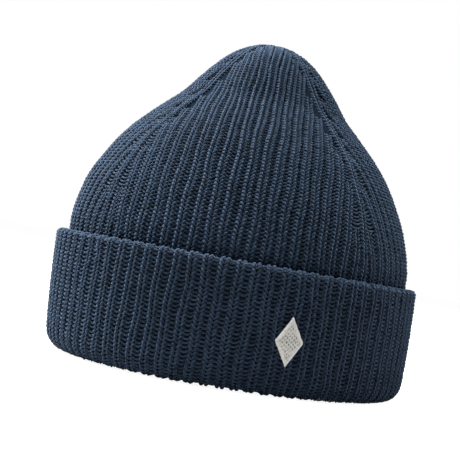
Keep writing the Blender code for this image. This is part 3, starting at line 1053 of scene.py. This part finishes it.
        lining = self.outline.inset(self.sizes.shell_gap + 2 * self.sizes.layer)
        inside = KnitSurface(lining, self.sizes, Facing.IN)
        scale = self.sizes.body_radius / self.sizes.inner_radius
        plain = RibKnitter(inside, self.stitch, Detail.PLAIN, *self.pitches(lining, scale), 12)
        inner_ground, inner_gores = self.layer(plain, "inner", "inner_shell", materials)

        return [ground, *gores, inner_ground, *inner_gores]


@dataclass
class Cuff:
    """The turned-up cuff: one knit face that wraps both folds, and the layer behind it.

    Args:
        sizes: the hat's sizes.
        ribs: how many ribs go round it.
    """

    sizes: HatSizes
    ribs: int = 84

    def __post_init__(self) -> None:
        """Work out the outline."""
        self.outline = cuff_outline(self.sizes)
        self.stitch = RibStitch()

    def cells(self, outline: Outline, first: int, last: int) -> Cells:
        """Return the stitches of the ribs from `first` up to `last`."""
        count = int(outline.length / self.stitch.course)
        rib, course = [a.ravel().astype(float) for a in
                       np.meshgrid(np.arange(first, last), np.arange(count))]
        return Cells(np.zeros(len(rib)), rib + 0.5, course, np.zeros(len(rib)), np.ones(len(rib)))

    def knitter(self, surface: KnitSurface, detail: Detail, seed: int) -> RibKnitter:
        """Return a knitter whose ribs all keep the same azimuth."""
        step = 2 * math.pi / self.ribs
        return RibKnitter(surface, self.stitch, detail, lambda along: np.full_like(along, step),
                          lambda along: step * surface.outline.radius(along), seed)

    def ground(self, surface: KnitSurface, rows: int, name: str) -> bpy.types.Object:
        """Make the plain dark sheet behind a face's stitches: painted shade seen through the knit's holes.
        """
        turns = np.linspace(0, 2 * math.pi, 2 * self.ribs + 1)[:-1]
        turn, along = np.meshgrid(turns, np.linspace(0.0, surface.outline.length, rows))
        points, _ = surface.placed(turn, along, np.full(turn.shape, -self.stitch.ground_depth))
        if surface.facing is Facing.IN:
            points = points[:, ::-1]
        return grid_object(name, points, closed=True)

    def face_layer(self, materials: dict) -> list:
        """Knit the face, in two halves, and make the sheet behind it."""
        face = KnitSurface(self.outline, self.sizes)
        knitter = self.knitter(face, Detail.FINE, 21)
        made, half = [], self.ribs // 2
        for name, first in (("cuff_knit_back", 0), ("cuff_knit_front", half)):
            cells = self.cells(self.outline, first, first + half)
            yarn = YarnMesh()
            knitter.legs(yarn, cells)
            knitter.rungs(yarn, cells)
            knitter.purls(yarn, cells, np.ones(len(cells.rib)))
            made.append(yarn.finish(name))
            dress(made[-1], materials["knit"], "cuff", "cuff_face")
        ground = self.ground(face, 60, "cuff_ground")
        dress(ground, materials["ground"], "cuff", "cuff_face")
        return [*made, ground]

    def back_layer(self, materials: dict) -> list:
        """Knit the layer that faces the crown, and make the sheet behind it."""
        low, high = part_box("cuff_back")
        heights = np.linspace(low.z, high.z, 40)
        wall = Outline(np.stack([np.full_like(heights, self.sizes.ring_inner), heights], axis=1))
        inside = KnitSurface(wall, self.sizes, Facing.IN)
        knitter = self.knitter(inside, Detail.PLAIN, 22)
        cells = self.cells(wall, 0, self.ribs)
        yarn = YarnMesh()
        knitter.legs(yarn, cells)
        knitter.purls(yarn, cells, np.ones(len(cells.rib)))
        back = yarn.finish("cuff_back_knit")
        dress(back, materials["knit"], "cuff", "cuff_back")
        ground = self.ground(inside, 20, "cuff_back_ground")
        dress(ground, materials["ground"], "cuff", "cuff_back")
        return [back, ground]

    def build(self, materials: dict) -> list:
        """Knit the cuff.

        Args:
            materials: the finishes by name.

        Returns:
            The pieces made.
        """
        made = self.face_layer(materials) + self.back_layer(materials)
        LOG.info("cuff: %s", ", ".join(piece.name for piece in made))
        return made


# ---- seams, gathers and stitches --------------------------------------------------------------
def chain_links(surface: KnitSurface, turn: float, start: float, end: float, width: float,
                depth: float, yarn: float, link: float) -> YarnMesh:
    """Lay a chain stitch up a layer.

    Args:
        surface: the face that depths are measured from.
        turn: the seam's azimuth.
        start: length along the outline where it begins.
        end: length where it ends.
        width: the chain's width.
        depth: how deep its middle lies.
        yarn: the yarn's radius.
        link: length of one link.

    Returns:
        The yarn.
    """
    half_loop, least_radius = 0.62, 4 * MM
    count = max(int((end - start) / link), 1)
    t = np.linspace(0, 2 * math.pi, 9)
    first = start + np.arange(count)[:, None] * link
    along = first + link * (0.5 - half_loop * np.cos(t))[None]
    radius = np.maximum(surface.outline.radius(first), least_radius)
    across = (width / 2 - yarn) * np.sin(t)[None] * (0.75 + 0.25 * np.cos(t - math.pi))[None]
    lift = -depth + 0.25 * yarn * np.cos(t)[None]
    points, normals = surface.placed(turn + across / radius, np.clip(along, start, end),
                                     np.broadcast_to(lift, along.shape))
    made = YarnMesh()
    made.lay(points, normals, np.full(count, yarn), 4, np.full(count, 0.5), wrap=300)
    return made


def twisted_ring(name: str, low: Vector, high: Vector, turns: int) -> bpy.types.Object:
    """Make a ring of two-ply yarn that fills a box: its strands wind round one circle.

    Args:
        name: the piece's name.
        low: the box's low corner.
        high: its high corner.
        turns: how many times each strand winds round.

    Returns:
        The ring.
    """
    strands = 2
    thick = (high.z - low.z) / 2
    yarn = thick * 0.5
    radius = (high.x - low.x) / 2 - thick
    t = np.linspace(0, 2 * math.pi, 12 * turns + 1)
    phases = np.arange(strands)[:, None] * 2 * math.pi / strands
    reach = radius + (thick - yarn) * np.cos(turns * t[None] + phases)
    level = (low.z + high.z) / 2 + (thick - yarn) * np.sin(turns * t[None] + phases)
    points = np.stack([reach * np.cos(t), reach * np.sin(t), level], axis=-1)
    normals = np.broadcast_to(np.array([0.0, 0.0, 1.0]), points.shape)
    made = YarnMesh()
    made.lay(points, normals, np.full(strands, yarn), 5, np.full(strands, 0.5), wrap=360)
    return made.finish(name)


@dataclass
class Seams:
    """The hidden seams between the two crown layers and between the cuff's, and the peak's ties.

    Args:
        sizes: the hat's sizes.
        crown: the crown, for its face.
        width: a seam's width.
        yarn: radius of the seam yarn.
        fine_yarn: its radius in the cuff, where there is less room.
        link: length of one chain link.
        reach_on: how far a chain runs past the top of its solid, along the face.
        ply_turn: width of ring for each turn of its strands.
    """

    sizes: HatSizes
    crown: Crown
    width: float = 3.0 * MM
    yarn: float = 0.34 * MM
    fine_yarn: float = 0.15 * MM
    link: float = 3.2 * MM
    reach_on: float = 1.5 * MM
    ply_turn: float = 0.62 * MM

    def along_at(self, outline: Outline, height: float) -> float:
        """Return the length along a crown outline where it reaches a height."""
        return float(np.interp(height, outline.points[:, 1], outline.lengths))

    def build(self, materials: dict) -> list:
        """Make every seam and tie.

        Args:
            materials: the finishes by name.

        Returns:
            The pieces made.
        """
        face = self.crown.face()
        middle = self.sizes.layer + self.sizes.shell_gap / 2
        made = []
        for node, turn in (("dart_seam_left", 0.0), ("dart_seam_back", 0.5), ("dart_seam_right", 1.0),
                           ("dart_seam_front", 1.5), ("back_seam", 0.5)):
            low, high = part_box(node)
            chain = chain_links(face, turn * math.pi, self.along_at(face.outline, low.z),
                                self.along_at(face.outline, high.z + self.reach_on), self.width,
                                middle, self.yarn, self.link)
            made.append((chain.finish(node + "_chain"), node, "crown"))
        low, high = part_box("cuff_seam")
        wall = Outline(np.array([[self.sizes.ring_inner, low.z], [self.sizes.ring_inner, high.z]]))
        behind = self.sizes.layer + 3 * self.fine_yarn
        chain = chain_links(KnitSurface(wall, self.sizes), math.pi / 2, 0.0, wall.length, self.width,
                            -behind, self.fine_yarn, self.link)
        made.append((chain.finish("cuff_seam_chain"), "cuff_seam", "cuff"))
        for node in ("outer_gather_yarn", "inner_gather_yarn", "apex_tack"):
            low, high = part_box(node)
            turns = int(round((high.x - low.x) / self.ply_turn))
            made.append((twisted_ring(node + "_ply", low, high, turns), node, "crown"))
        for piece, node, body in made:
            dress(piece, materials["seam"], body, node)
        LOG.info("seams: %s", ", ".join(piece.name for piece, _, _ in made))
        return [piece for piece, _, _ in made]


@dataclass
class Motif:
    """The embroidered lozenge: filled rows of thread inside a raised satin border.

    Args:
        sizes: the hat's sizes.
        outline: the cuff's outline.
        width: the lozenge's width.
        height: its height.
        row: distance between rows.
        stitch: length of one filling stitch, from needle hole to needle hole.
        slant: how far a row climbs, as a share of its run.
        thread: half the width of the filling thread.
        lift: how far the filling stands off the knit.
        dip: how far the thread dips at a needle hole.
        dip_width: half the width of that dip.
        thread_shade: the filling thread's shade.
        dip_shade: painted shade: how much darker the thread is painted in a needle hole.
        border: length of the border's satin stitches.
        border_thread: half the width of their thread.
        border_step: distance between them.
        backing: thickness of the backing.
        margin: how much wider and taller the backing is.
    """

    sizes: HatSizes
    outline: Outline
    width: float = 14.0 * MM
    height: float = 24.0 * MM
    row: float = 0.55 * MM
    stitch: float = 2.3 * MM
    slant: float = 0.12
    thread: float = 0.31 * MM
    lift: float = 0.36 * MM
    dip: float = 0.62 * MM
    dip_width: float = 0.35 * MM
    thread_shade: float = 0.62
    dip_shade: float = 0.50
    border: float = 1.5 * MM
    border_thread: float = 0.24 * MM
    border_step: float = 0.36 * MM
    backing: float = 0.3 * MM
    margin: float = 8 * MM

    def __post_init__(self) -> None:
        """Find the lozenge's middle."""
        low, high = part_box("motif_thread")
        middle = (low + high) / 2
        self.turn = math.atan2(middle.y / (1 + self.sizes.ovalness), middle.x / (1 - self.sizes.ovalness))
        self.level = middle.z
        self.surface = KnitSurface(self.outline, self.sizes)
        rising = self.outline.points[:, 0] > self.sizes.cuff_top_half - 1 * MM
        self.heights = self.outline.points[rising, 1]
        self.lengths = self.outline.lengths[rising]
        order = np.argsort(self.heights)
        self.heights, self.lengths = self.heights[order], self.lengths[order]

    def place(self, across: np.ndarray, up: np.ndarray, lift: np.ndarray) -> tuple:
        """Return points on the cuff at distances across and up from the lozenge's middle."""
        along = np.interp(self.level + up, self.heights, self.lengths)
        return self.surface.placed(self.turn + across / self.sizes.cuff_top_half, along, lift)

    def rows(self, yarn: YarnMesh, facing: Facing, base: float, random: np.random.Generator) -> None:
        """Lay the rows of filling stitches.

        Args:
            yarn: takes the thread.
            facing: which side they are seen from.
            base: how far off the knit they stand.
            random: for their small differences.
        """
        levels = np.arange(-self.height / 2 + self.row, self.height / 2 - self.row / 2, self.row)
        half = self.width / 2 * (1 - np.abs(levels) / (self.height / 2))
        share = np.linspace(-1, 1, 65)
        across = half[:, None] * share[None]
        phase = (np.arange(len(levels)) // 2 % 2)[:, None] * self.stitch / 2
        from_hole = np.mod(across + phase, self.stitch) - self.stitch / 2
        dips = np.exp(-(from_hole / self.dip_width) ** 2)
        dips = dips * np.clip(1 + 0.45 * random.normal(0, 1, across.shape), 0.2, 1.6)
        lift = base - facing.value * self.dip * dips + random.normal(0, 0.012 * MM, across.shape)
        up = levels[:, None] + self.slant * across + random.normal(0, 0.02 * MM, (len(levels), 1))
        points, normals = self.place(across, up, lift)
        normals = normals * facing.value
        # painted shade: the thread is painted darker in each needle hole
        shade = (self.thread_shade + 0.05 * random.normal(0, 1, (len(levels), 1))
                 - self.dip_shade * dips)
        yarn.lay(points, normals, np.full(len(levels), self.thread), 3, shade, flatness=0.8)

    def edging(self, yarn: YarnMesh, random: np.random.Generator) -> None:
        """Lay the short satin stitches over the lozenge's four edges."""
        corners = np.array([(self.width / 2, 0), (0, self.height / 2), (-self.width / 2, 0),
                            (0, -self.height / 2)])
        t = np.linspace(0, 1, 6)
        for start, end in zip(corners, np.roll(corners, -1, axis=0)):
            edge = end - start
            long = np.linalg.norm(edge)
            count = int(long / self.border_step)
            inward = np.array([-edge[1], edge[0]]) / long
            at = start + edge * ((np.arange(count) + 0.5) / count)[:, None]
            room = long * (0.5 - np.abs((np.arange(count)[:, None] + 0.5) / count - 0.5))
            reach = (np.minimum(self.border, 0.35 * MM + 0.55 * room)
                     * (1 + 0.10 * random.normal(0, 1, (count, 1))))
            line = at[:, None, :] + inward * (reach * (t[None] - 0.04))[..., None]
            lift = 0.10 * MM + 0.42 * MM * np.sin(math.pi * (0.06 + 0.88 * t)) ** 0.6
            points, normals = self.place(line[..., 0], line[..., 1],
                                         np.broadcast_to(lift, line.shape[:2]))
            yarn.lay(points, normals, np.full(count, self.border_thread), 3,
                     0.66 + 0.08 * random.normal(0, 1, count))

    def patch(self, name: str, width: float, height: float, lift: float) -> bpy.types.Object:
        """Make a smooth lozenge of cloth that follows the cuff."""
        i, j = np.meshgrid(np.linspace(0, 1, 13), np.linspace(0, 1, 13), indexing="ij")
        across, up = (i - j) * width / 2, (i + j - 1) * height / 2
        points, _ = self.place(across, up, np.full(across.shape, lift))
        return grid_object(name, points[:, ::-1], closed=False)

    def build(self, materials: dict) -> list:
        """Make the embroidery, the bobbin thread behind it and the backing between.

        Args:
            materials: the finishes by name.

        Returns:
            The pieces made.
        """
        random = np.random.default_rng(31)
        # the underlay takes the dark sheet's finish: navy knit showing between the rows, painted in shade
        under = self.patch("motif_underlay", self.width * 0.90, self.height * 0.90, 0.02 * MM)
        face = YarnMesh()
        self.rows(face, Facing.OUT, self.lift, random)
        fill = face.finish("motif_fill")
        edge = YarnMesh()
        self.edging(edge, random)
        edging = edge.finish("motif_border")
        back_lift = -(self.sizes.layer + 2.6 * self.backing + 0.4 * MM)
        back = YarnMesh()
        self.rows(back, Facing.IN, back_lift, random)
        bobbin = back.finish("motif_bobbin_rows")
        wide, tall = self.width + self.margin, self.height + self.margin
        paper = self.patch("motif_backing", wide, tall, -(self.sizes.layer + self.backing + 0.1 * MM))
        for piece, node, finish, slot in (
                (under, "motif_thread", "ground", "knit"),
                (fill, "motif_thread", "thread", "embroidery"),
                (edging, "motif_thread", "thread", "embroidery"),
                (bobbin, "motif_bobbin_thread", "thread", "embroidery"),
                (paper, "motif_stabiliser", "backing", "backing")):
            dress(piece, materials[finish], "cuff", node)
        LOG.info("motif: %s", ", ".join(piece.name for piece in (under, fill, edging, bobbin, paper)))
        return [under, fill, edging, bobbin, paper]


@dataclass
class CareLabel:
    """The satin loop label, folded at its foot and sewn to the lining along its top.

    Args:
        ply: the ribbon's thickness.
        wave: how far it waves out of its plane.
        tab_depth: thickness of its folded top.
        stitch: width of one zigzag stitch.
        thread: radius of the zigzag's thread.
    """

    ply: float = 0.22 * MM
    wave: float = 0.03 * MM
    tab_depth: float = 0.36 * MM
    stitch: float = 0.9 * MM
    thread: float = 0.13 * MM

    def ribbon(self) -> bpy.types.Object:
        """Fold the ribbon: down the front, round the foot and up the back."""
        low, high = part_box("care_label")
        gap = (high.y - low.y) / 2 - self.ply / 2 - 0.02 * MM
        middle = (low.y + high.y) / 2
        foot = low.z + gap + self.ply / 2
        down = [(-gap, z) for z in np.linspace(high.z, foot, 22)]
        fold = [(-gap * math.cos(a), foot - gap * math.sin(a)) for a in np.linspace(0.35, 2.8, 6)]
        profile = np.array(down + fold + [(gap, z) for z in np.linspace(foot, high.z, 22)])
        xs = np.linspace(low.x, high.x, 25)
        wave = self.wave * np.sin(xs * 420)
        points = np.stack([np.broadcast_to(xs, (len(profile), 25)),
                           middle + profile[:, :1] + wave[None] * (1 - np.abs(profile[:, :1]) / gap * 0.3),
                           np.broadcast_to(profile[:, 1:], (len(profile), 25))], axis=-1)
        label = grid_object("care_label_ribbon", points, closed=False)
        bpy.context.view_layer.objects.active = label
        label.select_set(True)
        wall = label.modifiers.new("ply", "SOLIDIFY")
        wall.thickness = self.ply
        wall.offset = 0.0
        bpy.ops.object.modifier_apply(modifier="ply")
        label.select_set(False)
        return label

    def tab(self) -> bpy.types.Object:
        """Make the ribbon's top edge, which is sewn down, with a bevelled rim."""
        low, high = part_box("label_stitching")
        bpy.ops.object.select_all(action="DESELECT")
        bpy.ops.mesh.primitive_cube_add(size=1.0)
        tab = bpy.context.object
        tab.name = "care_label_tab"
        bpy.ops.object.mode_set(mode="EDIT")
        bpy.ops.mesh.subdivide(number_cuts=6)
        bpy.ops.transform.resize(value=(high.x - low.x, self.tab_depth, high.z - low.z))
        bpy.ops.transform.translate(value=(0, high.y - 0.22 * MM, (low.z + high.z) / 2))
        bpy.ops.object.mode_set(mode="OBJECT")
        edge = tab.modifiers.new("edge", "BEVEL")
        edge.width = 0.12 * MM
        edge.segments = 2
        bpy.ops.object.modifier_apply(modifier="edge")
        tab.data.shade_smooth()
        tab.select_set(False)
        return tab

    def zigzag(self) -> bpy.types.Object:
        """Lay the zigzag of thread that holds the label."""
        end_margin, side_margin = 0.4 * MM, 0.35 * MM
        low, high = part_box("label_stitching")
        count = int((high.x - low.x) / self.stitch)
        xs = np.linspace(low.x + end_margin, high.x - end_margin, count + 1)
        zs = np.where(np.arange(count + 1) % 2, high.z - side_margin, low.z + side_margin)
        t = np.linspace(0, 1, 6)
        x = xs[:-1, None] + np.diff(xs)[:, None] * t
        z = zs[:-1, None] + np.diff(zs)[:, None] * t
        y = low.y + 0.30 * MM - 0.16 * MM * np.sin(math.pi * t)[None] + 0 * x
        points = np.stack([x, y, z], axis=-1)
        yarn = YarnMesh()
        yarn.lay(points, np.broadcast_to(np.array([0.0, -1.0, 0.0]), points.shape),
                 np.full(count, self.thread), 4, np.full(count, 0.6), wrap=300)
        return yarn.finish("label_zigzag")

    def build(self, materials: dict) -> list:
        """Make the label and its stitching.

        Args:
            materials: the finishes by name.

        Returns:
            The pieces made.
        """
        label, tab, zigzag = self.ribbon(), self.tab(), self.zigzag()
        for piece, body, node, finish, slot in (
                (label, "label", "care_label", "satin", "label_satin"),
                (tab, "crown", "label_stitching", "satin", "label_satin"),
                (zigzag, "crown", "label_stitching", "thread", "seam_yarn")):
            dress(piece, materials[finish], body, node)
        LOG.info("label: %s, %s, %s", label.name, tab.name, zigzag.name)
        return [label, tab, zigzag]


# ---- studio -----------------------------------------------------------------------------------
@dataclass(frozen=True)
class Light:
    """A square light: its place, its size in metres, its power in watts and its colour."""

    name: str
    place: tuple
    size: float
    power: float
    colour: tuple


@dataclass(frozen=True)
class Studio:
    """The floor, the lights and the camera.

    Args:
        camera_distance: from the lens to the point that it aims at.
        camera_azimuth: degrees round from the front towards +X.
        camera_elevation: degrees above level.
        camera_roll: degrees that the view is turned.
        lens: focal length in millimetres.
        aim_height: height of the aim on the hat's axis.
        aim_right: how far the aim is then moved to the view's right.
        aim_up: how far it is moved up the view.
        light_height: height on the hat's axis at which the lights shine.
        lights: the square lights.
        sky_colour: colour of the light from all round.
        sky_strength: its strength.
        floor_size: the floor's width.
        floor_drop: how far below the hat it lies.
        floor_tone: how much light it gives back.
        floor_glow: how bright it looks to the camera by itself.
    """

    camera_distance: float = 0.620
    camera_azimuth: float = 45.0
    camera_elevation: float = -1.5
    camera_roll: float = 10.2
    lens: float = 85.0
    aim_height: float = 0.0954
    aim_right: float = -10.6 * MM
    aim_up: float = -15.2 * MM
    light_height: float = 0.09
    lights: tuple = (
        Light("key", (-1.2, -0.75, 1.5), 0.8, 84.0, (1.0, 0.99, 0.97)),
        Light("rim", (0.5, 1.4, 0.9), 1.0, 18.0, (0.95, 0.98, 1.0)),
        Light("top", (-0.25, -0.40, 1.75), 0.8, 66.0, (0.94, 0.98, 1.0)),
        Light("inside", (0.0, 0.0, 0.5 * MM), 0.12, 0.09, (1.0, 1.0, 1.0)),
    )
    sky_colour: tuple = (0.96, 0.98, 1.0)
    sky_strength: float = 0.13
    floor_size: float = 40.0
    floor_drop: float = 0.2 * MM
    floor_tone: float = 0.38
    floor_glow: float = 0.93

    def build_camera(self) -> None:
        """Add the camera, rolled as the hat is seen."""
        turn, tilt = math.radians(self.camera_azimuth), math.radians(self.camera_elevation)
        back = Vector((math.sin(turn) * math.cos(tilt), -math.cos(turn) * math.cos(tilt), math.sin(tilt)))
        look = (-back).to_track_quat("-Z", "Y").to_matrix()
        rolled = look @ Matrix.Rotation(math.radians(self.camera_roll), 3, "Z")
        data = bpy.data.cameras.new("camera")
        data.lens = self.lens
        data.sensor_width = 36.0
        data.clip_start = 0.01
        data.clip_end = 50.0
        camera = bpy.data.objects.new("camera", data)
        bpy.context.scene.collection.objects.link(camera)
        camera.rotation_mode = "QUATERNION"
        camera.rotation_quaternion = rolled.to_quaternion()
        aim = Vector((0, 0, self.aim_height)) + rolled.col[0] * self.aim_right + rolled.col[1] * self.aim_up
        camera.location = aim + back * self.camera_distance
        bpy.context.scene.camera = camera

    def build_light(self, light: Light) -> None:
        """Add a soft square light that shines at the hat's middle."""
        data = bpy.data.lights.new(light.name, "AREA")
        data.size = light.size
        data.energy = light.power
        data.color = light.colour
        made = bpy.data.objects.new(light.name, data)
        made.location = light.place
        aim = Vector((0, 0, self.light_height)) - Vector(light.place)
        made.rotation_euler = aim.to_track_quat("-Z", "Y").to_euler()
        bpy.context.scene.collection.objects.link(made)

    def build_world(self) -> None:
        """Light the hat softly from all round, and show plain white behind it."""
        world = bpy.data.worlds.new("studio")
        bpy.context.scene.world = world
        world.use_nodes = True
        tree = world.node_tree
        background = tree.nodes["Background"]
        background.inputs["Color"].default_value = (*self.sky_colour, 1.0)
        background.inputs["Strength"].default_value = self.sky_strength
        backdrop = add_node(tree, "ShaderNodeBackground")
        backdrop.inputs["Color"].default_value = (1.0, 1.0, 1.0, 1.0)
        backdrop.inputs["Strength"].default_value = 1.0
        seen = add_node(tree, "ShaderNodeLightPath")
        mix = add_node(tree, "ShaderNodeMixShader")
        tree.links.new(seen.outputs["Is Camera Ray"], mix.inputs[0])
        tree.links.new(background.outputs[0], mix.inputs[1])
        tree.links.new(backdrop.outputs[0], mix.inputs[2])
        tree.links.new(mix.outputs[0], tree.nodes["World Output"].inputs[0])

    def paper(self) -> bpy.types.Material:
        """Make the floor's paper, which looks white from above and is clear from below."""
        paper = bpy.data.materials.new("pale paper")
        paper.use_nodes = True
        tree = paper.node_tree
        shader = tree.nodes["Principled BSDF"]
        shader.inputs["Base Color"].default_value = (*[self.floor_tone] * 3, 1.0)
        shader.inputs["Roughness"].default_value = 0.9
        shader.inputs["Emission Color"].default_value = (1.0, 1.0, 1.0, 1.0)
        seen = add_node(tree, "ShaderNodeLightPath")
        glow = math_node(tree, "MULTIPLY", seen.outputs["Is Camera Ray"], self.floor_glow)
        tree.links.new(glow, shader.inputs["Emission Strength"])
        clear = add_node(tree, "ShaderNodeBsdfTransparent")
        behind = add_node(tree, "ShaderNodeNewGeometry")
        mix = add_node(tree, "ShaderNodeMixShader")
        tree.links.new(behind.outputs["Backfacing"], mix.inputs[0])
        tree.links.new(shader.outputs[0], mix.inputs[1])
        tree.links.new(clear.outputs[0], mix.inputs[2])
        tree.links.new(mix.outputs[0], tree.nodes["Material Output"].inputs["Surface"])
        return paper

    def build_floor(self) -> None:
        """Lay the paper just under the hat."""
        bpy.ops.mesh.primitive_plane_add(size=self.floor_size, location=(0, 0, -self.floor_drop))
        floor = bpy.context.object
        floor.name = "floor"
        floor.data.materials.append(self.paper())

    def build(self) -> None:
        """Add everything that isn't the hat."""
        bpy.context.scene.view_settings.view_transform = "Standard"
        self.build_camera()
        for light in self.lights:
            self.build_light(light)
        self.build_world()
        self.build_floor()
        LOG.info("studio: camera, floor and %d lights", len(self.lights))


def main() -> None:
    """Build the hat and its studio in order."""
    logging.basicConfig(level=logging.INFO, format="%(name)s: %(message)s")
    for thing in bpy.context.selected_objects:
        thing.select_set(False)
    sizes = HatSizes()
    group = yarn_group()
    materials = {"knit": NAVY_YARN.build(group), "ground": SHADOW_YARN.build(group),
                 "seam": SEAM_YARN.build(group), "thread": WHITE_THREAD.build(group),
                 "satin": LABEL_SATIN.build(), "backing": BACKING_FELT.build()}
    crown, cuff = Crown(sizes), Cuff(sizes)
    crown.build(materials)
    cuff.build(materials)
    Seams(sizes, crown).build(materials)
    Motif(sizes, cuff.outline).build(materials)
    CareLabel().build(materials)
    Studio().build()


if __name__ == "__main__":
    main()
